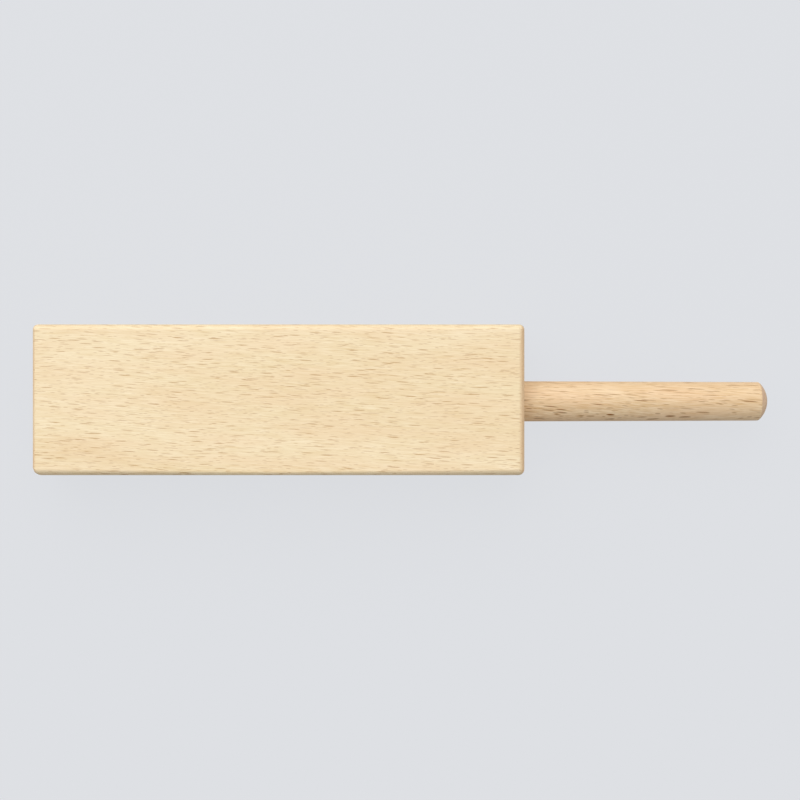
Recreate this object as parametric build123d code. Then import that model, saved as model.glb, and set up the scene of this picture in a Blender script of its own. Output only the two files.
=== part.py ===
from build123d import *
import os

# A hand-held woodblock. A solid beech block has a sound slot milled into each long side, one under
# each striking face. A turned beech handle has a tenon that is glued into a blind bore in one end of
# the block, up to the handle's shoulder.
# Millimetres. +X runs along the handle towards its tip and +Z is up, out of the upper striking face.
# The origin is on the surface that the block lies on, under the middle of the whole instrument.

# Block: length along the grain, width across it, and thickness between the striking faces
BLOCK_LENGTH = 180.0
BLOCK_WIDTH = 55.3
BLOCK_THICKNESS = 36.0
BLOCK_EDGE_RADIUS = 2.0

# Sound slots: the wood that covers a slot is the plate that is struck, and a deeper slot sounds lower
SLOT_HEIGHT = 6.0
LOW_PLATE_THICKNESS = 8.0
HIGH_PLATE_THICKNESS = 8.0
LOW_SLOT_DEPTH = 38.0
HIGH_SLOT_DEPTH = 31.0
FREE_END_WALL = 16.0
BORE_END_WALL = 5.0
SLOT_EDGE_BREAK = 0.5

# Handle: the grip stands out of the block from its shoulder to its low domed tip
HANDLE_DIAMETER = 14.7
HANDLE_REACH = 92.0
TIP_CROWN = 3.3
TIP_EDGE_RADIUS = 1.5
SHOULDER_EDGE_BREAK = 0.3
TENON_SHOULDER = 1.45
TENON_LENGTH = 30.0
TENON_END_CHAMFER = 1.0

# Glued joint: the film round the tenon, the pool behind it and the eased mouth of the bore
GLUE_FILM = 0.1
GLUE_POOL = 1.5
BORE_EDGE_BREAK = 0.4

# Places along the instrument that the pieces share
FREE_END_X = -(BLOCK_LENGTH + HANDLE_REACH) / 2
HANDLE_END_X = FREE_END_X + BLOCK_LENGTH
HANDLE_AXIS_Z = BLOCK_THICKNESS / 2
TENON_RADIUS = HANDLE_DIAMETER / 2 - TENON_SHOULDER
BORE_RADIUS = TENON_RADIUS + GLUE_FILM
BORE_DEPTH = TENON_LENGTH + GLUE_POOL
JOINT = Pos(HANDLE_END_X, 0, HANDLE_AXIS_Z)


def bore_space(start):
    """The space of the bore, from that far below the block's end face to the bore's flat bottom."""
    along_x = Rot(0, 90, 0)
    rod = Cylinder(BORE_RADIUS, BORE_DEPTH - start, align=(Align.CENTER, Align.CENTER, Align.MAX))
    return JOINT * Pos(-start, 0, 0) * along_x * rod


def sound_slot(side, height_above_rest, depth):
    """The space of one milled slot. Side is -1 for the front of the block and +1 for its back."""
    start_x = FREE_END_X + FREE_END_WALL
    end_x = HANDLE_END_X - BORE_DEPTH - BORE_END_WALL
    mouth = Plane(
        origin=((start_x + end_x) / 2, side * BLOCK_WIDTH / 2, height_above_rest),
        x_dir=(1, 0, 0),
        z_dir=(0, -side, 0),
    )
    return extrude(mouth * SlotOverall(end_x - start_x, SLOT_HEIGHT), amount=depth)


def ease_opening(face, size):
    """The body that the flat face belongs to, with a small chamfer round the one opening in the face."""
    return chamfer(face.inner_wires()[0].edges(), length=size)


def resonator_block():
    """The rounded block with its two sound slots and the blind bore for the handle."""
    block = Pos(FREE_END_X, 0, 0) * Box(
        BLOCK_LENGTH, BLOCK_WIDTH, BLOCK_THICKNESS, align=(Align.MIN, Align.CENTER, Align.MIN)
    )
    block = fillet(block.edges(), radius=BLOCK_EDGE_RADIUS)
    low_slot_z = BLOCK_THICKNESS - LOW_PLATE_THICKNESS - SLOT_HEIGHT / 2
    high_slot_z = HIGH_PLATE_THICKNESS + SLOT_HEIGHT / 2
    block -= sound_slot(-1, low_slot_z, LOW_SLOT_DEPTH)
    block -= sound_slot(+1, high_slot_z, HIGH_SLOT_DEPTH)
    block -= bore_space(0)
    block = ease_opening(block.faces().filter_by(Axis.Y).sort_by(Axis.Y)[0], SLOT_EDGE_BREAK)
    block = ease_opening(block.faces().filter_by(Axis.Y).sort_by(Axis.Y)[-1], SLOT_EDGE_BREAK)
    block = ease_opening(block.faces().filter_by(Axis.X).sort_by(Axis.X)[-1], BORE_EDGE_BREAK)
    return block


def handle():
    """The turned handle: a chamfered tenon, an eased shoulder, the grip and a rounded, low domed tip."""
    grip_radius = HANDLE_DIAMETER / 2
    rim_x = HANDLE_REACH - TIP_CROWN
    outline = Polyline(
        (HANDLE_REACH, 0),
        (-TENON_LENGTH, 0),
        (-TENON_LENGTH, TENON_RADIUS - TENON_END_CHAMFER),
        (-TENON_LENGTH + TENON_END_CHAMFER, TENON_RADIUS),
        (0, TENON_RADIUS),
        (0, grip_radius - SHOULDER_EDGE_BREAK),
        (SHOULDER_EDGE_BREAK, grip_radius),
        (rim_x, grip_radius),
    )
    dome = TangentArc((HANDLE_REACH, 0), (rim_x, grip_radius), tangent=(0, 1))
    section = make_face(outline + dome)
    rim = section.vertices().sort_by_distance((rim_x, grip_radius))[0]
    section = fillet(rim, radius=TIP_EDGE_RADIUS)
    return JOINT * revolve(section, axis=Axis.X)


def handle_glue(tenon):
    """The set glue between the tenon and the bore, up to the bore's eased mouth."""
    return bore_space(BORE_EDGE_BREAK) - tenon


turned_handle = handle()
pieces = {
    "resonator_block": resonator_block(),
    "handle": turned_handle,
    "handle_glue": handle_glue(turned_handle),
}
os.makedirs("parts", exist_ok=True)
for name, piece in pieces.items():
    export_step(piece, f"parts/{name}.step")
    print(name, "solids", len(piece.solids()), "volume", round(piece.volume, 1))
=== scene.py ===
import math

import bmesh
import bpy
from bpy.props import FloatProperty, FloatVectorProperty, PointerProperty
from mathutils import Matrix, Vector


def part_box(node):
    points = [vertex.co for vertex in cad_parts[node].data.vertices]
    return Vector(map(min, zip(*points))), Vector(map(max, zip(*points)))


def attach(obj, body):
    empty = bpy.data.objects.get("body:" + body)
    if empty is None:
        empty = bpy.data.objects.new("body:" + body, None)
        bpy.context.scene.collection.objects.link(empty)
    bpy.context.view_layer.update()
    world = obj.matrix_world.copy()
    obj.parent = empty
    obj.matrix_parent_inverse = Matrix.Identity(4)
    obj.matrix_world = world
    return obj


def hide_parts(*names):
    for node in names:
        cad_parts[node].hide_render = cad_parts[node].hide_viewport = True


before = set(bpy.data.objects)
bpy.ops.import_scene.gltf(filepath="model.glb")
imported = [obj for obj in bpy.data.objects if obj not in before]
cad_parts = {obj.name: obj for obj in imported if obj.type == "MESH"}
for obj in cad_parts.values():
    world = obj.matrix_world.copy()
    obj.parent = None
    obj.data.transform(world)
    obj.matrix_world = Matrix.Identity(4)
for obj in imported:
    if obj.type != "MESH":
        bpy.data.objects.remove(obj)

bl_info = {
    "name": "Beech Woodblock",
    "version": (1, 0, 0),
    "blender": (4, 5, 0),
    "location": "3D View > Sidebar > Woodblock",
    "description": "Models and finishes a slotted beech woodblock with a turned handle",
    "category": "Add Mesh",
}

BODY = "root"
MM = 0.001
X, Y, Z = range(3)

# Corners of the frame's boxes. The woodblock lies on the floor, its handle towards +X, its back towards +Y
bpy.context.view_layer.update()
BLOCK_LOW, BLOCK_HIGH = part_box("resonator_block")
HANDLE_LOW, HANDLE_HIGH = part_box("handle")
GLUE_LOW, GLUE_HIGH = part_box("handle_glue")
BLOCK_SIZE = BLOCK_HIGH - BLOCK_LOW
BLOCK_MIDDLE = (BLOCK_LOW + BLOCK_HIGH) / 2
HANDLE_AXIS_Z = (HANDLE_LOW.z + HANDLE_HIGH.z) / 2

# The photograph's frame in pixels, with the object's middle in it, and the block's length at the height
# of its free end's outline
PHOTO_SIDE = 800
BLOCK_SPAN = 491.5
OBJECT_MIDDLE = (404.48, 399.65)
SENSOR_MM = 36.0

# How finely round shapes are divided
EDGE_SEGMENTS = 8
SLOT_END_SEGMENTS = 16
SLOT_MOUTH_STEPS = 5
GRIP_STEPS = 14
RIM_STEPS = 10
DOME_STEPS = 10
TURNED_SIDES = 96
# Parts of the block's long edges, between which their width can change
LONG_EDGE_PARTS = 4
# How far a cutter stands out of the wood, and how close points are that become one
CUTTER_CLEARANCE = 2 * MM
MERGE_DISTANCE = 0.001 * MM
# Faces that meet at less than this angle are shaded as one, and large faces lead by this weight
SMOOTH_ANGLE = math.radians(32)
LARGE_FACE_WEIGHT = 100

# Sizes in beech, in millimetres along the fibres, along the growth rings and along the rays.
# The fibres sway and ripple by these waves, each with how far it reaches
FIBRE_WAVES = (((60, 40, 40), 1.2), ((4, 2.5, 2.5), 0.03))
# Single fibres are too fine to show, so they are drawn as bundles
FIBRE_SIZE = (8, 0.25, 0.5)
ROSY_PATCH_SIZE = (30, 5, 5)
# Growth rings, and the place of the pith that they run round
RING_SPACING = 2.8
PITH = (0, 22, -95)

# Flecks: spacing and weight of the short ones as shares of those of the long ones
SHORT_FLECKS = Vector((0.4, 0.7, 0.8))
SHORT_FLECK_WEIGHT = 0.7
# Half the size of a fleck as a share of the spacing, and of the core in it that has its full depth
FLECK_REACH = 0.32
FLECK_CORE = FLECK_REACH * 0.55
# Turn of the flecks' lattice, in radians, and how far a fleck strays from it
LATTICE_TURN = (0.5, 0.4, 0.6)
FLECK_STRAY = 0.75

# Shades of beech: weight of the rings beside the fibres, and the levels of both that are pale and deep
RING_WEIGHT = 0.4
PALE_LEVEL = 0.42
DEEP_LEVEL = 0.98
ROSY_WEIGHT = 0.35
# Levels of the rings in their early and late wood, and how much of the end grain's colour each gets
EARLY_LEVEL = 0.3
LATE_LEVEL = 0.7
EARLY_END_WEIGHT = 0.5
LATE_END_WEIGHT = 1.0

# Ridges that the milling bit leaves, in millimetres, and the Wave texture's scale for one wave in a unit
RIDGE_SIZE = (0.9, 6, 6)
ONE_WAVE = 0.314
RIDGE_WEIGHT = 0.25
GLUE_LUMP_SIZE = (2, 2, 2)


def linear(hex_colour):
    """The linear colour of an sRGB hex value such as "F2DCB7"."""
    levels = [int(hex_colour[i:i + 2], 16) / 255 for i in (0, 2, 4)]
    return [v / 12.92 if v <= 0.04045 else ((v + 0.055) / 1.055) ** 2.4 for v in levels]


def length(name, description, default):
    """A length that a user can change, in metres."""
    return FloatProperty(name=name, description=description, default=default, unit="LENGTH", precision=4)


def angle(name, description, degrees):
    """An angle that a user can change, given in degrees."""
    return FloatProperty(
        name=name, description=description, default=math.radians(degrees), subtype="ANGLE"
    )


def share(name, description, default):
    """A share from 0 to 1 that a user can change."""
    return FloatProperty(
        name=name, description=description, default=default, subtype="FACTOR", min=0, max=1
    )


def colour(name, description, hex_colour):
    """A colour that a user can change, given as sRGB hex."""
    return FloatVectorProperty(
        name=name, description=description, default=linear(hex_colour), subtype="COLOR", min=0, max=1
    )


def spacing(name, description, millimetres):
    """Three lengths that a user can change, given in millimetres."""
    return FloatVectorProperty(
        name=name, description=description, default=[size * MM for size in millimetres],
        unit="LENGTH", subtype="XYZ", precision=5,
    )


class WoodblockShape(bpy.types.PropertyGroup):
    """Sizes of the block and the handle that their boxes in the frame don't give."""

    back_edge: length("Back edges", "Rounding of the long edges at the back", 2.4 * MM)
    front_edge: length("Front edges", "Rounding of the long edges at the front, halfway along", 1.35 * MM)
    front_edge_ends: length("Front edge ends", "Rounding of the same edges at their ends", 2.3 * MM)
    free_edge: length("Free end edges", "Rounding of the edges across the free end", 1.55 * MM)
    handle_edge: length("Handle end edges", "Rounding of the edges across the handle's end", 2.45 * MM)
    free_back_corner: length("Free back corner", "Rounding of the upright edge there", 1.7 * MM)
    free_front_corner: length("Free front corner", "Rounding of the upright edge there", 2.9 * MM)
    handle_back_corner: length("Handle back corner", "Rounding of the upright edge there", 1.9 * MM)
    handle_front_corner: length("Handle front corner", "Rounding of the upright edge there", 2.2 * MM)
    edge_depth: FloatProperty(
        name="Edge depth", description="Depth of the roundings for their width", default=1.6, min=1
    )
    slot_height: length("Slot height", "Height of both sound slots", 6.0 * MM)
    slot_mouth_radius: length("Slot mouth radius", "Rounding of the slots' mouths", 0.5 * MM)
    low_plate: length("Upper plate", "Wood over the low tone's slot", 8.0 * MM)
    high_plate: length("Lower plate", "Wood under the high tone's slot", 8.0 * MM)
    low_depth: length("Low slot depth", "Depth of the slot in the front side", 38.0 * MM)
    high_depth: length("High slot depth", "Depth of the slot in the back side", 31.0 * MM)
    free_end_wall: length("Free end wall", "Wood between the free end and the slots", 16.0 * MM)
    bore_end_wall: length("Bore end wall", "Wood between the slots and the bore", 5.0 * MM)
    root_diameter: length("Root diameter", "Handle's diameter at the block", 15.05 * MM)
    tip_diameter: length("Tip diameter", "Handle's diameter near its tip", 14.45 * MM)
    tip_crown: length("Tip crown", "Rise of the domed tip", 3.3 * MM)
    tip_edge_radius: length("Tip edge radius", "Rounding between the grip and the dome", 1.2 * MM)
    shoulder_break: length("Shoulder break", "Eased edge of the handle's shoulder", 0.3 * MM)
    tenon_diameter: length("Tenon diameter", "Diameter of the part in the bore", 11.8 * MM)
    tenon_chamfer: length("Tenon chamfer", "Chamfer on the tenon's end", 1.0 * MM)


class BlockBeech(bpy.types.PropertyGroup):
    """Finish of the block."""

    pale: colour("Pale wood", "Lightest streaks of the wood", "F8E8C7")
    deep: colour("Deep wood", "Darker streaks of the wood", "E3CA9C")
    rosy: colour("Rosy wood", "Pinker patches of the wood", "EBCAA3")
    fleck: colour("Flecks", "Short dashes where the rays are cut", "AC7A40")
    end: colour("End grain", "Wood cut across the grain", "E3BE94")
    fleck_cell: spacing("Fleck spacing", "Along the fibres, the rings and the rays", (9.0, 0.55, 1.8))
    fleck_weight: share("Fleck weight", "How strongly the flecks show", 0.75)
    tilt: angle("Grain tilt", "Turn of the grain off the length", 3.0)
    ray_turn: angle("Ray turn", "Turn of the rays off upright", 12.0)
    end_start: share("End grain start", "How far a face turns to the end before it darkens", 0.2)
    end_full: share("End grain full", "How far a face turns to the end until it is all end grain", 0.85)


class HandleBeech(bpy.types.PropertyGroup):
    """Finish of the handle, from a redder board with bolder flecks."""

    pale: colour("Pale wood", "Lightest streaks of the wood", "F5DEBB")
    deep: colour("Deep wood", "Darker streaks of the wood", "D6B282")
    rosy: colour("Rosy wood", "Pinker patches of the wood", "E8C19A")
    fleck: colour("Flecks", "Short dashes where the rays are cut", "885200")
    end: colour("End grain", "Wood cut across the grain", "D2B193")
    fleck_cell: spacing("Fleck spacing", "Along the fibres, the rings and the rays", (13.0, 0.5, 1.7))
    fleck_weight: share("Fleck weight", "How strongly the flecks show", 1.0)
    tilt: angle("Grain tilt", "Turn of the grain off the length", 3.0)
    ray_turn: angle("Ray turn", "Turn of the rays off upright", 40.0)
    end_start: share("End grain start", "How far a face turns to the end before it darkens", 0.55)
    end_full: share("End grain full", "How far a face turns to the end until it is all end grain", 0.7)


class SetGlue(bpy.types.PropertyGroup):
    """Finish of the glue in the bore."""

    clear: colour("Clear glue", "Paler places in the glue", "E9D9A6")
    cloudy: colour("Cloudy glue", "Darker places in the glue", "CDB277")


class StageLook(bpy.types.PropertyGroup):
    """The floor, the light and the camera."""

    backdrop: colour("Backdrop", "Colour of the floor and what is behind it", "DEE0E4")
    floor_size: length("Floor size", "Side of the floor", 8.0)
    shadow_share: share("Shadow share", "How much of its shadow the floor shows", 0.07)
    bounce: share("Floor bounce", "How much light the floor throws back on the object", 0.45)
    fill: share("Fill", "Level of the light from all round", 0.7)
    fill_lean: share("Fill lean", "How much more fill comes from the back than from the front", 0.62)
    key_watts: FloatProperty(
        name="Key light", description="Power of the soft key light", default=11.7, subtype="POWER", min=0
    )
    key_size: length("Key size", "Side of the soft key light", 1.6)
    key_distance: length("Key distance", "From the object to the key light", 1.5)
    key_direction: FloatVectorProperty(
        name="Key direction", description="From the object to the key light",
        default=(-0.17, 0.44, 0.87), subtype="DIRECTION",
    )
    camera_distance: length("Camera distance", "From the block's upper outline to the camera", 0.62)
    camera_forward: length("Camera forward", "From the block's middle to the camera, to the front", 0.025)


class WoodblockSettings(bpy.types.PropertyGroup):
    """Everything that a user can change."""

    shape: PointerProperty(type=WoodblockShape)
    block_beech: PointerProperty(type=BlockBeech)
    handle_beech: PointerProperty(type=HandleBeech)
    glue: PointerProperty(type=SetGlue)
    stage: PointerProperty(type=StageLook)


def add_node(tree, kind, inputs=None, **settings):
    """Adds a node, sets its properties, and sets each input to a value or links it to a socket."""
    node = tree.nodes.new(kind)
    for name, value in settings.items():
        setattr(node, name, value)
    for name, value in (inputs or {}).items():
        if isinstance(value, bpy.types.NodeSocket):
            tree.links.new(value, node.inputs[name])
        else:
            node.inputs[name].default_value = value
    return node


def new_material(name):
    """An empty node material and its tree."""
    material = bpy.data.materials.new(name)
    material.use_nodes = True
    material.node_tree.nodes.clear()
    return material, material.node_tree


def per_mm(sizes):
    """A Mapping scale that makes one unit of a pattern that many millimetres along each axis."""
    return [1 / (size * MM) for size in sizes]


def beech_places(tree, look):
    """Places in the wood: X along the fibres, Y along the growth rings and Z along the rays. The fibres
    aren't straight, so the places sway and ripple with them."""
    place = add_node(tree, "ShaderNodeTexCoord")
    swayed = place.outputs["Object"]
    for wave, reach_mm in FIBRE_WAVES:
        reach = reach_mm * MM
        spread = add_node(
            tree, "ShaderNodeMapping", {"Vector": place.outputs["Object"], "Scale": per_mm(wave)}
        )
        noise = add_node(
            tree, "ShaderNodeTexNoise", {"Vector": spread.outputs["Vector"], "Scale": 1.0, "Detail": 1.0}
        )
        push = add_node(
            tree, "ShaderNodeVectorMath",
            {0: noise.outputs["Color"], 1: (0, 2 * reach, 2 * reach), 2: (0, -reach, -reach)},
            operation="MULTIPLY_ADD",
        )
        pushed = add_node(
            tree, "ShaderNodeVectorMath", {0: swayed, 1: push.outputs["Vector"]}, operation="ADD"
        )
        swayed = pushed.outputs["Vector"]
    grain = add_node(
        tree, "ShaderNodeMapping", {"Vector": swayed, "Rotation": (look.ray_turn, 0, look.tilt)}
    )
    return place, grain.outputs["Vector"]


def stretched_noise(tree, grain, size, detail):
    """Soft streaks of that size in millimetres along the fibres, the rings and the rays."""
    spread = add_node(tree, "ShaderNodeMapping", {"Vector": grain, "Scale": per_mm(size)})
    noise = add_node(
        tree, "ShaderNodeTexNoise",
        {"Vector": spread.outputs["Vector"], "Scale": 1.0, "Detail": detail, "Roughness": 0.6},
    )
    return noise.outputs["Fac"]


def risen(tree, grain, size, start, full):
    """Soft streaks of that size, raised: 0 where they are lower than start, 1 where higher than full."""
    streaks = stretched_noise(tree, grain, size, detail=0.0)
    raised = add_node(
        tree, "ShaderNodeMapRange", {"Value": streaks, "From Min": start, "From Max": full},
        interpolation_type="SMOOTHSTEP",
    )
    return raised.outputs["Result"]


def flecks(tree, grain, spacing_mm):
    """The rays cut through: thin dashes of that spacing, each as deep as chance makes it, from 0 to 1.
    Each dash is a ball round a point that strays from a lattice, drawn out by the stretched space. The
    lattice is turned in that space, so that the dashes spread evenly and stand in no rows."""
    spread = add_node(
        tree, "ShaderNodeMapping",
        {"Vector": grain, "Scale": per_mm(spacing_mm), "Rotation": LATTICE_TURN},
    )
    cells = add_node(
        tree, "ShaderNodeTexVoronoi",
        {"Vector": spread.outputs["Vector"], "Scale": 1.0, "Randomness": FLECK_STRAY},
    )
    chance = add_node(tree, "ShaderNodeSeparateColor", {"Color": cells.outputs["Color"]})
    dashes = add_node(
        tree, "ShaderNodeMapRange",
        {
            "Value": cells.outputs["Distance"], "From Min": FLECK_REACH, "From Max": FLECK_CORE,
            "To Max": chance.outputs["Red"],
        },
        interpolation_type="SMOOTHSTEP",
    )
    return dashes.outputs["Result"]


def growth_rings(tree, grain):
    """Growth rings round a pith that lies below the wood, from 0 to 1."""
    section = add_node(tree, "ShaderNodeVectorMath", {0: grain, 1: (0, 1, 1)}, operation="MULTIPLY")
    radius = add_node(
        tree, "ShaderNodeVectorMath",
        {0: section.outputs["Vector"], 1: [place * MM for place in PITH]}, operation="DISTANCE",
    )
    count = add_node(
        tree, "ShaderNodeMath", {0: radius.outputs["Value"], 1: RING_SPACING * MM}, operation="DIVIDE"
    )
    rings = add_node(
        tree, "ShaderNodeTexNoise", {"W": count.outputs["Value"], "Scale": 1.0, "Detail": 2.0},
        noise_dimensions="1D",
    )
    return rings.outputs["Fac"]


def blended(tree, amount, under, over, weight=1.0):
    """Two colours mixed by an amount from 0 to 1, of which only that weight counts."""
    part = add_node(tree, "ShaderNodeMath", {0: amount, 1: weight}, operation="MULTIPLY")
    # When it mixes colours, this node has its factor in input 0, the colours in 6 and 7, and output 2
    mix = add_node(tree, "ShaderNodeMix", {0: part.outputs["Value"], 6: under, 7: over}, data_type="RGBA")
    return mix.outputs[2]


def beech_colour(tree, look):
    """The colour of beech at each place, and the fibres, the flecks and the places themselves."""
    place, grain = beech_places(tree, look)
    cell = Vector(look.fleck_cell) / MM
    fibres = stretched_noise(tree, grain, FIBRE_SIZE, detail=1.0)
    patches = risen(tree, grain, ROSY_PATCH_SIZE, start=0.1, full=0.9)
    long_flecks = flecks(tree, grain, cell)
    short_flecks = flecks(tree, grain, cell * SHORT_FLECKS)
    rings = growth_rings(tree, grain)
    banded = add_node(
        tree, "ShaderNodeMath", {0: rings, 1: RING_WEIGHT, 2: fibres}, operation="MULTIPLY_ADD"
    )
    shade = add_node(
        tree, "ShaderNodeMapRange",
        {"Value": banded.outputs["Value"], "From Min": PALE_LEVEL, "From Max": DEEP_LEVEL},
    )
    wood = blended(tree, shade.outputs["Result"], (*look.pale, 1), (*look.deep, 1))
    wood = blended(tree, patches, wood, (*look.rosy, 1), ROSY_WEIGHT)
    wood = blended(tree, short_flecks, wood, (*look.fleck, 1), look.fleck_weight * SHORT_FLECK_WEIGHT)
    wood = blended(tree, long_flecks, wood, (*look.fleck, 1), look.fleck_weight)
    facing = add_node(tree, "ShaderNodeSeparateXYZ", {"Vector": place.outputs["Normal"]})
    endways = add_node(tree, "ShaderNodeMath", {0: facing.outputs["X"]}, operation="ABSOLUTE")
    cut_across = add_node(
        tree, "ShaderNodeMapRange",
        {"Value": endways.outputs["Value"], "From Min": look.end_start, "From Max": look.end_full},
    )
    ringed = add_node(
        tree, "ShaderNodeMapRange",
        {
            "Value": rings, "From Min": EARLY_LEVEL, "From Max": LATE_LEVEL,
            "To Min": EARLY_END_WEIGHT, "To Max": LATE_END_WEIGHT,
        },
    )
    wood = blended(tree, cut_across.outputs["Result"], wood, (*look.end, 1), ringed.outputs["Result"])
    return wood, fibres, long_flecks, place


def lacquered_beech(name, look):
    """Sanded beech under thin satin lacquer: pale even wood with fine fibres, short brown dashes where
    the rays are cut, faint growth rings, darker end grain and a soft sheen."""
    material, tree = new_material(name)
    wood, fibres, dashes, _ = beech_colour(tree, look)
    height = add_node(tree, "ShaderNodeMath", {0: fibres, 1: dashes}, operation="SUBTRACT")
    relief = add_node(
        tree, "ShaderNodeBump", {"Height": height.outputs["Value"], "Strength": 0.2, "Distance": 0.1 * MM}
    )
    sheen = add_node(tree, "ShaderNodeMapRange", {"Value": fibres, "To Min": 0.55, "To Max": 0.75})
    shader = add_node(
        tree, "ShaderNodeBsdfPrincipled",
        {
            "Base Color": wood, "Roughness": sheen.outputs["Result"], "Normal": relief.outputs["Normal"],
            "IOR": 1.5, "Specular IOR Level": 0.35,
        },
    )
    add_node(tree, "ShaderNodeOutputMaterial", {"Surface": shader.outputs["BSDF"]})
    return material


def milled_beech(name, look):
    """Beech as the milling bit leaves it, with no lacquer: dull and a little fuzzy, with fine ridges
    across the feed."""
    material, tree = new_material(name)
    wood, fibres, _, place = beech_colour(tree, look)
    feed = add_node(
        tree, "ShaderNodeMapping", {"Vector": place.outputs["Object"], "Scale": per_mm(RIDGE_SIZE)}
    )
    ridges = add_node(
        tree, "ShaderNodeTexWave",
        {"Vector": feed.outputs["Vector"], "Scale": ONE_WAVE, "Distortion": 1.5, "Detail": 1.0},
        wave_type="BANDS", bands_direction="X", wave_profile="SIN",
    )
    worked = blended(tree, ridges.outputs["Fac"], wood, (*look.deep, 1), RIDGE_WEIGHT)
    height = add_node(
        tree, "ShaderNodeMath", {0: fibres, 1: 0.5, 2: ridges.outputs["Fac"]}, operation="MULTIPLY_ADD"
    )
    relief = add_node(
        tree, "ShaderNodeBump", {"Height": height.outputs["Value"], "Strength": 0.5, "Distance": 0.1 * MM}
    )
    rough = add_node(tree, "ShaderNodeMapRange", {"Value": fibres, "To Min": 0.7, "To Max": 0.9})
    shader = add_node(
        tree, "ShaderNodeBsdfPrincipled",
        {
            "Base Color": worked, "Roughness": rough.outputs["Result"], "Normal": relief.outputs["Normal"],
            "IOR": 1.5,
        },
    )
    add_node(tree, "ShaderNodeOutputMaterial", {"Surface": shader.outputs["BSDF"]})
    return material


def set_glue(look):
    """Set wood glue: dull, yellowish and a little cloudy, with small lumps where it was squeezed."""
    material, tree = new_material("wood glue, set")
    place = add_node(tree, "ShaderNodeTexCoord")
    spread = add_node(
        tree, "ShaderNodeMapping", {"Vector": place.outputs["Object"], "Scale": per_mm(GLUE_LUMP_SIZE)}
    )
    clouds = add_node(tree, "ShaderNodeTexNoise", {"Vector": spread.outputs["Vector"], "Scale": 1.0})
    body = blended(tree, clouds.outputs["Fac"], (*look.clear, 1), (*look.cloudy, 1))
    lumps = add_node(
        tree, "ShaderNodeBump", {"Height": clouds.outputs["Fac"], "Strength": 0.4, "Distance": 0.1 * MM}
    )
    shader = add_node(
        tree, "ShaderNodeBsdfPrincipled",
        {"Base Color": body, "Roughness": 0.45, "IOR": 1.47, "Normal": lumps.outputs["Normal"]},
    )
    add_node(tree, "ShaderNodeOutputMaterial", {"Surface": shader.outputs["BSDF"]})
    return material


def settle(name):
    """Names the primitive that was just added, and puts its place and size into its mesh."""
    piece = bpy.context.active_object
    piece.name = name
    piece.data.name = name
    bpy.ops.object.transform_apply(location=True, rotation=True, scale=True)
    return piece


def box_piece(name, low, high):
    """A cube primitive made to fill the box between two corners."""
    bpy.ops.object.select_all(action="DESELECT")
    bpy.ops.mesh.primitive_cube_add(size=1, location=(low + high) / 2)
    bpy.context.active_object.scale = high - low
    return settle(name)


def pick(piece, kind, wanted):
    """In edit mode, selects only those points, edges or faces of the piece that are wanted."""
    bpy.ops.mesh.select_mode(type=kind)
    bpy.ops.mesh.select_all(action="DESELECT")
    mesh = bmesh.from_edit_mesh(piece.data)
    items = {"VERT": mesh.verts, "EDGE": mesh.edges, "FACE": mesh.faces}[kind]
    picked = [item for item in items if wanted(item)]
    if not picked:
        raise RuntimeError(f"{piece.name} has nothing to pick there")
    for item in picked:
        item.select_set(True)
    bmesh.update_edit_mesh(piece.data)


def runs_along(edge, axis):
    """Whether the edge runs along that axis."""
    return abs(edge.verts[1].co[axis] - edge.verts[0].co[axis]) > MM


def from_middle(edge):
    """The place halfway along the edge, from the block's middle."""
    return (edge.verts[0].co + edge.verts[1].co) / 2 - BLOCK_MIDDLE


def close_up():
    """In edit mode, merges points that meet and turns the faces outwards."""
    bpy.ops.mesh.select_all(action="SELECT")
    bpy.ops.mesh.remove_doubles(threshold=MERGE_DISTANCE)
    bpy.ops.mesh.normals_make_consistent(inside=False)


def make_active(piece):
    """Selects that piece alone and makes it the active one."""
    bpy.ops.object.select_all(action="DESELECT")
    piece.select_set(True)
    bpy.context.view_layer.objects.active = piece


def apply_modifier(piece, kind, **settings):
    """Gives the active piece a modifier of that kind with those settings, and applies it."""
    bpy.ops.object.modifier_add(type=kind)
    modifier = piece.modifiers[-1]
    for name, value in settings.items():
        setattr(modifier, name, value)
    bpy.ops.object.modifier_apply(modifier=modifier.name)


def turned_piece(name, rings):
    """A round piece along the handle's axis: a disc drawn out ring by ring, each an x and a radius."""
    bpy.ops.object.select_all(action="DESELECT")
    (x, radius), *others = rings
    bpy.ops.mesh.primitive_circle_add(
        vertices=TURNED_SIDES, radius=radius, fill_type="NGON",
        location=(x, 0, HANDLE_AXIS_Z), rotation=(0, math.radians(90), 0),
    )
    piece = settle(name)
    bpy.ops.object.mode_set(mode="EDIT")
    bpy.ops.mesh.select_all(action="SELECT")
    for next_x, next_radius in others:
        bpy.ops.mesh.extrude_region_move(TRANSFORM_OT_translate={"value": (next_x - x, 0, 0)})
        grow = next_radius / radius
        bpy.ops.transform.resize(value=(1, grow, grow), center_override=(next_x, 0, HANDLE_AXIS_Z))
        x, radius = next_x, next_radius
    close_up()
    bpy.ops.object.mode_set(mode="OBJECT")
    return piece


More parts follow.
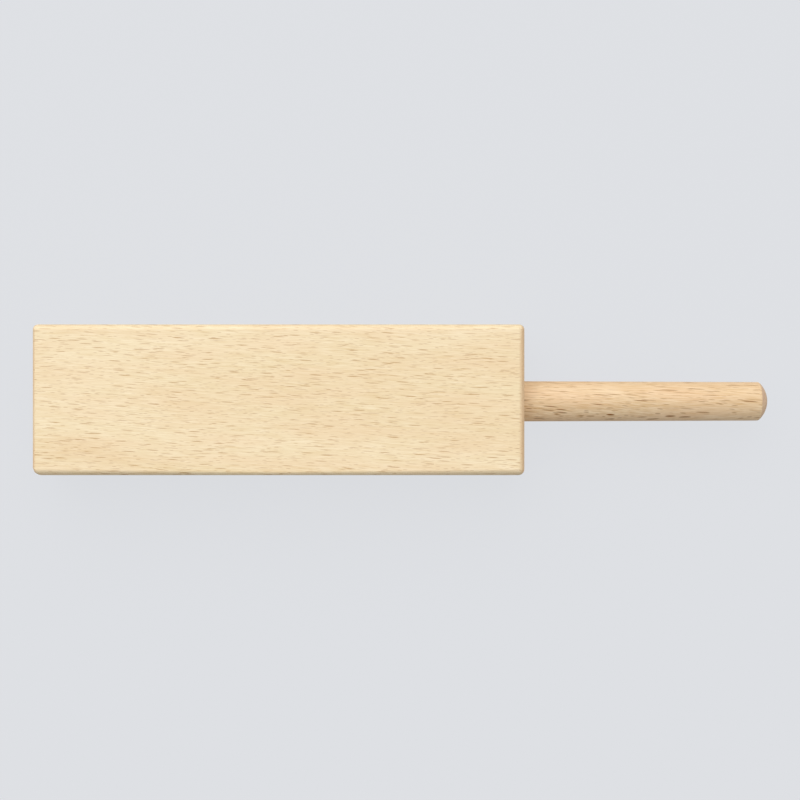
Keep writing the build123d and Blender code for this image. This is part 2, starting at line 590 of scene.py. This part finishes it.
def slot_cutter(name, shape, side, middle_z, depth):
    """The shape of one milled slot with its rounded mouth. Side is -1 for the front, +1 for the back."""
    rounding = shape.slot_mouth_radius
    half_height = shape.slot_height / 2 + rounding
    face_y = side * BLOCK_SIZE.y / 2
    low_y, high_y = sorted((face_y, face_y + side * CUTTER_CLEARANCE))
    start_x = BLOCK_LOW.x + shape.free_end_wall - rounding
    end_x = GLUE_LOW.x - shape.bore_end_wall + rounding
    cutter = box_piece(
        name,
        Vector((start_x, low_y, middle_z - half_height)),
        Vector((end_x, high_y, middle_z + half_height)),
    )
    bpy.ops.object.mode_set(mode="EDIT")
    pick(cutter, "EDGE", lambda edge: runs_along(edge, Y))
    bpy.ops.mesh.bevel(
        offset=half_height, segments=SLOT_END_SEGMENTS, affect="EDGES", clamp_overlap=True
    )
    close_up()
    pick(cutter, "FACE", lambda face: round(face.normal.y) == -side)
    turn = math.pi / 2 / SLOT_MOUTH_STEPS
    for step in range(SLOT_MOUTH_STEPS):
        narrower = rounding * (math.sin(turn * (step + 1)) - math.sin(turn * step))
        deeper = rounding * (math.cos(turn * step) - math.cos(turn * (step + 1)))
        bpy.ops.mesh.inset(thickness=narrower, depth=deeper, use_even_offset=True)
    bpy.ops.mesh.extrude_region_move(TRANSFORM_OT_translate={"value": (0, -side * (depth - rounding), 0)})
    close_up()
    bpy.ops.object.mode_set(mode="OBJECT")
    return cutter


def cut(piece, cutter):
    """Takes the cutter's shape out of the piece, and deletes the cutter."""
    make_active(piece)
    apply_modifier(piece, "BOOLEAN", object=cutter, operation="DIFFERENCE", solver="EXACT")
    bpy.data.objects.remove(cutter)


def smooth(piece):
    """Smooth shading on the roundings, flat on the flats, sharp where faces meet at an edge."""
    make_active(piece)
    bpy.ops.object.shade_smooth_by_angle(angle=SMOOTH_ANGLE)
    apply_modifier(piece, "WEIGHTED_NORMAL", keep_sharp=True, weight=LARGE_FACE_WEIGHT)


def edge_kinds(shape):
    """The widths of the block's roundings, each with the axis that its edges run along and a test of where
    an edge lies from the block's middle."""
    end = BLOCK_SIZE.x / 2 - MM
    return (
        (shape.back_edge, X, lambda spot: spot.y > 0),
        (shape.front_edge_ends, X, lambda spot: spot.y < 0),
        (shape.free_edge, Y, lambda spot: spot.x < -end),
        (shape.handle_edge, Y, lambda spot: spot.x > end),
        (shape.free_back_corner, Z, lambda spot: spot.x < -end and spot.y > 0),
        (shape.free_front_corner, Z, lambda spot: spot.x < -end and spot.y < 0),
        (shape.handle_back_corner, Z, lambda spot: spot.x > end and spot.y > 0),
        (shape.handle_front_corner, Z, lambda spot: spot.x > end and spot.y < 0),
    )


def narrow_halfway(block, shape):
    """In edit mode, draws the rounding of the front edges in, from its full width at their ends to its
    least width halfway along."""
    width = shape.front_edge_ends
    least = shape.front_edge / width
    slack = 0.1 * MM
    reach = (MM, width + slack, width * shape.edge_depth + slack)
    for step in range(1, LONG_EDGE_PARTS):
        along = step / LONG_EDGE_PARTS
        from_end = 1 - abs(2 * along - 1)
        narrower = 1 + (least - 1) * from_end
        for edge_z in (BLOCK_LOW.z, BLOCK_HIGH.z):
            corner = Vector((BLOCK_LOW.x + BLOCK_SIZE.x * along, BLOCK_LOW.y, edge_z))
            pick(block, "VERT", lambda point: all(
                abs(point.co[axis] - corner[axis]) < reach[axis] for axis in (X, Y, Z)
            ))
            bpy.ops.transform.resize(value=(1, narrower, narrower), center_override=corner)


def ease_edges(block, shape):
    """Eases the block's edges as sanding does, each kind of edge by a width of its own. The block is
    pressed flat while that is done, so the roundings reach further down the sides than across the faces.
    Then the front edges, which are divided first, are narrowed halfway along."""
    kinds = edge_kinds(shape)
    widest = max(width for width, _, _ in kinds)
    bpy.ops.object.mode_set(mode="EDIT")
    bpy.ops.mesh.select_all(action="SELECT")
    bpy.ops.transform.resize(value=(1, 1, 1 / shape.edge_depth), center_override=BLOCK_MIDDLE)
    pick(block, "EDGE", lambda edge: runs_along(edge, X))
    bpy.ops.mesh.subdivide(number_cuts=LONG_EDGE_PARTS - 1)
    for width, axis, wanted in kinds:
        pick(block, "EDGE", lambda edge: runs_along(edge, axis) and wanted(from_middle(edge)))
        bpy.ops.transform.edge_bevelweight(value=width / widest)
    bpy.ops.object.mode_set(mode="OBJECT")
    apply_modifier(block, "BEVEL", limit_method="WEIGHT", width=widest, segments=EDGE_SEGMENTS)
    bpy.ops.object.mode_set(mode="EDIT")
    bpy.ops.mesh.select_all(action="SELECT")
    bpy.ops.transform.resize(value=(1, 1, shape.edge_depth), center_override=BLOCK_MIDDLE)
    narrow_halfway(block, shape)
    bpy.ops.object.mode_set(mode="OBJECT")


def bare_the_cuts(block, rim):
    """Gives the walls of the slots and the bore, deeper than their rims, the block's second material."""
    inset = Vector((rim, rim, rim))
    low, high = BLOCK_LOW + inset, BLOCK_HIGH - inset
    bpy.ops.object.mode_set(mode="EDIT")
    pick(block, "FACE", lambda face: all(
        low[axis] < face.calc_center_median()[axis] < high[axis] for axis in (X, Y, Z)
    ))
    block.active_material_index = 1
    bpy.ops.object.material_slot_assign()
    bpy.ops.object.mode_set(mode="OBJECT")


def handle_rings(shape):
    """The handle's profile from the tenon's end to the middle of the tip, as rings of an x and a radius."""
    tenon = shape.tenon_diameter / 2
    root = shape.root_diameter / 2
    tip = shape.tip_diameter / 2
    shoulder_x = BLOCK_HIGH.x
    rings = [
        (HANDLE_LOW.x, tenon - shape.tenon_chamfer),
        (HANDLE_LOW.x + shape.tenon_chamfer, tenon),
        (shoulder_x, tenon),
        (shoulder_x, root - shape.shoulder_break),
    ]
    # The dome is a sphere of this radius, and the rounding of its rim touches the dome and the grip
    dome = (tip ** 2 + shape.tip_crown ** 2) / (2 * shape.tip_crown)
    rim = shape.tip_edge_radius
    rim_radius = tip - rim
    dome_x = HANDLE_HIGH.x - dome
    rim_x = dome_x + math.sqrt((dome - rim) ** 2 - rim_radius ** 2)
    rim_end = math.acos(rim_radius / (dome - rim))
    grip_x = shoulder_x + shape.shoulder_break
    for step in range(GRIP_STEPS + 1):
        along = step / GRIP_STEPS
        rings.append((grip_x + (rim_x - grip_x) * along, root + (tip - root) * along))
    for step in range(1, RIM_STEPS + 1):
        turn = rim_end * step / RIM_STEPS
        rings.append((rim_x + rim * math.sin(turn), rim_radius + rim * math.cos(turn)))
    for step in range(1, DOME_STEPS):
        turn = rim_end + (math.pi / 2 - rim_end) * step / DOME_STEPS
        rings.append((dome_x + dome * math.sin(turn), dome * math.cos(turn)))
    return rings


def hand_over(piece, node):
    """Gives the piece its body and hides the imported part that it stands for."""
    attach(piece, BODY)
    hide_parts(node)


class WOODBLOCK_OT_model_block(bpy.types.Operator):
    """Model the block with its rounded edges, its two sound slots and the bore for the handle"""

    bl_idname = "woodblock.model_block"
    bl_label = "Model Block"

    def execute(self, context):
        settings = context.scene.woodblock
        shape = settings.shape
        block = box_piece("resonator", BLOCK_LOW, BLOCK_HIGH)
        ease_edges(block, shape)
        low_z = BLOCK_HIGH.z - shape.low_plate - shape.slot_height / 2
        high_z = BLOCK_LOW.z + shape.high_plate + shape.slot_height / 2
        cut(block, slot_cutter("low_slot", shape, -1, low_z, shape.low_depth))
        cut(block, slot_cutter("high_slot", shape, +1, high_z, shape.high_depth))
        bore_radius = (GLUE_HIGH.y - GLUE_LOW.y) / 2
        bore_rings = [(BLOCK_HIGH.x + CUTTER_CLEARANCE, bore_radius), (GLUE_LOW.x, bore_radius)]
        cut(block, turned_piece("bore", bore_rings))
        smooth(block)
        hand_over(block, "resonator_block")
        block.data.materials.append(lacquered_beech("beech, planed and lacquered", settings.block_beech))
        block.data.materials.append(milled_beech("beech, milled and bare", settings.block_beech))
        bare_the_cuts(block, shape.slot_mouth_radius)
        return {"FINISHED"}


class WOODBLOCK_OT_model_handle(bpy.types.Operator):
    """Model the turned handle with its tenon, eased shoulder, tapering grip and domed tip"""

    bl_idname = "woodblock.model_handle"
    bl_label = "Model Handle"

    def execute(self, context):
        settings = context.scene.woodblock
        handle = turned_piece("turned_handle", handle_rings(settings.shape))
        smooth(handle)
        hand_over(handle, "handle")
        handle.data.materials.append(lacquered_beech("beech, turned and lacquered", settings.handle_beech))
        return {"FINISHED"}


class WOODBLOCK_OT_finish_glue(bpy.types.Operator):
    """Give the glue in the bore its material"""

    bl_idname = "woodblock.finish_glue"
    bl_label = "Finish Glue"

    def execute(self, context):
        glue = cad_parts["handle_glue"]
        glue.data.materials.clear()
        glue.data.materials.append(set_glue(context.scene.woodblock.glue))
        return {"FINISHED"}


def seen_directly(tree):
    """1 for rays from the camera or from a shiny or clear surface, and 0 for the rays that light things."""
    path = add_node(tree, "ShaderNodeLightPath")
    straight = add_node(
        tree, "ShaderNodeMath", {0: path.outputs["Is Camera Ray"], 1: path.outputs["Is Glossy Ray"]},
        operation="MAXIMUM",
    )
    seen = add_node(
        tree, "ShaderNodeMath", {0: straight.outputs["Value"], 1: path.outputs["Is Transmission Ray"]},
        operation="MAXIMUM",
    )
    return seen.outputs["Value"]


def floor_paper(look):
    """Pale matt studio paper that shows its own colour and a part of the shadow on it, and lights the
    object less than it shows."""
    material, tree = new_material("studio paper, matt")
    glow = add_node(tree, "ShaderNodeEmission", {"Color": (*look.backdrop, 1), "Strength": 1.0})
    paper = add_node(tree, "ShaderNodeBsdfDiffuse", {"Color": (*look.backdrop, 1)})
    shown = add_node(
        tree, "ShaderNodeMixShader",
        {0: look.shadow_share, 1: glow.outputs["Emission"], 2: paper.outputs["BSDF"]},
    )
    level = look.bounce
    bounce = add_node(tree, "ShaderNodeBsdfDiffuse", {"Color": (level, level, level, 1)})
    mixed = add_node(
        tree, "ShaderNodeMixShader",
        {0: seen_directly(tree), 1: bounce.outputs["BSDF"], 2: shown.outputs["Shader"]},
    )
    add_node(tree, "ShaderNodeOutputMaterial", {"Surface": mixed.outputs["Shader"]})
    return material


def lay_floor(look):
    """The sheet of paper that the woodblock lies on."""
    bpy.ops.object.select_all(action="DESELECT")
    bpy.ops.mesh.primitive_plane_add(size=look.floor_size)
    floor = settle("floor")
    floor.data.materials.append(floor_paper(look))


def light_room(look):
    """White fill from all round, stronger from the back, behind which the backdrop's own colour shows."""
    world = bpy.data.worlds.new("studio")
    bpy.context.scene.world = world
    world.use_nodes = True
    tree = world.node_tree
    tree.nodes.clear()
    around = add_node(tree, "ShaderNodeTexCoord")
    towards = add_node(tree, "ShaderNodeSeparateXYZ", {"Vector": around.outputs["Generated"]})
    level = add_node(
        tree, "ShaderNodeMapRange",
        {
            "Value": towards.outputs["Y"], "From Min": -1.0, "From Max": 1.0,
            "To Min": look.fill * (1 - look.fill_lean), "To Max": look.fill * (1 + look.fill_lean),
        },
    )
    fill = add_node(
        tree, "ShaderNodeBackground", {"Color": (1, 1, 1, 1), "Strength": level.outputs["Result"]}
    )
    backdrop = add_node(tree, "ShaderNodeBackground", {"Color": (*look.backdrop, 1), "Strength": 1.0})
    mixed = add_node(
        tree, "ShaderNodeMixShader",
        {0: seen_directly(tree), 1: fill.outputs["Background"], 2: backdrop.outputs["Background"]},
    )
    add_node(tree, "ShaderNodeOutputWorld", {"Surface": mixed.outputs["Shader"]})


def hang_key_light(look):
    """The soft key light, above and behind the woodblock."""
    direction = Vector(look.key_direction)
    bpy.ops.object.light_add(type="AREA", location=direction * look.key_distance)
    key = bpy.context.active_object
    key.rotation_euler = direction.to_track_quat("Z", "Y").to_euler()
    key.visible_camera = False
    key.data.energy = look.key_watts
    key.data.size = look.key_size


def set_camera(look, shape):
    """The camera, looking straight down. It stands to the front of the block's middle, and its lens is
    shifted back over the object."""
    outline_z = BLOCK_HIGH.z - shape.free_edge * shape.edge_depth
    pixels_per_metre = BLOCK_SPAN / BLOCK_SIZE.x
    across, down = [(middle - PHOTO_SIDE / 2) / pixels_per_metre for middle in OBJECT_MIDDLE]
    stand = (-across, -look.camera_forward, outline_z + look.camera_distance)
    bpy.ops.object.camera_add(location=stand, rotation=(0, 0, 0))
    camera = bpy.context.active_object
    camera.data.shift_y = (look.camera_forward + down) * pixels_per_metre / PHOTO_SIDE
    camera.data.sensor_width = SENSOR_MM
    camera.data.lens = SENSOR_MM * pixels_per_metre * look.camera_distance / PHOTO_SIDE
    bpy.context.scene.camera = camera


class WOODBLOCK_OT_set_stage(bpy.types.Operator):
    """Set up the floor, the soft light and the camera straight above"""

    bl_idname = "woodblock.set_stage"
    bl_label = "Set Stage"

    def execute(self, context):
        settings = context.scene.woodblock
        context.scene.view_settings.view_transform = "Standard"
        lay_floor(settings.stage)
        light_room(settings.stage)
        hang_key_light(settings.stage)
        set_camera(settings.stage, settings.shape)
        return {"FINISHED"}


class WOODBLOCK_PT_sidebar(bpy.types.Panel):
    """Lists the steps and the values that a user can change."""

    bl_label = "Woodblock"
    bl_space_type = "VIEW_3D"
    bl_region_type = "UI"
    bl_category = "Woodblock"

    def draw(self, context):
        settings = context.scene.woodblock
        for operator in OPERATORS:
            self.layout.operator(operator.bl_idname)
        for group_name in settings.__annotations__:
            group = getattr(settings, group_name)
            column = self.layout.box().column()
            for name in group.__annotations__:
                column.prop(group, name)


GROUPS = (WoodblockShape, BlockBeech, HandleBeech, SetGlue, StageLook, WoodblockSettings)
OPERATORS = (
    WOODBLOCK_OT_model_block, WOODBLOCK_OT_model_handle, WOODBLOCK_OT_finish_glue, WOODBLOCK_OT_set_stage
)
CLASSES = (*GROUPS, *OPERATORS, WOODBLOCK_PT_sidebar)


def register():
    for cls in CLASSES:
        bpy.utils.register_class(cls)
    bpy.types.Scene.woodblock = PointerProperty(type=WoodblockSettings)


def unregister():
    del bpy.types.Scene.woodblock
    for cls in reversed(CLASSES):
        bpy.utils.unregister_class(cls)


def main():
    """Builds the woodblock step by step."""
    register()
    bpy.ops.woodblock.model_block()
    bpy.ops.woodblock.model_handle()
    bpy.ops.woodblock.finish_glue()
    bpy.ops.woodblock.set_stage()


if __name__ == "__main__":
    main()
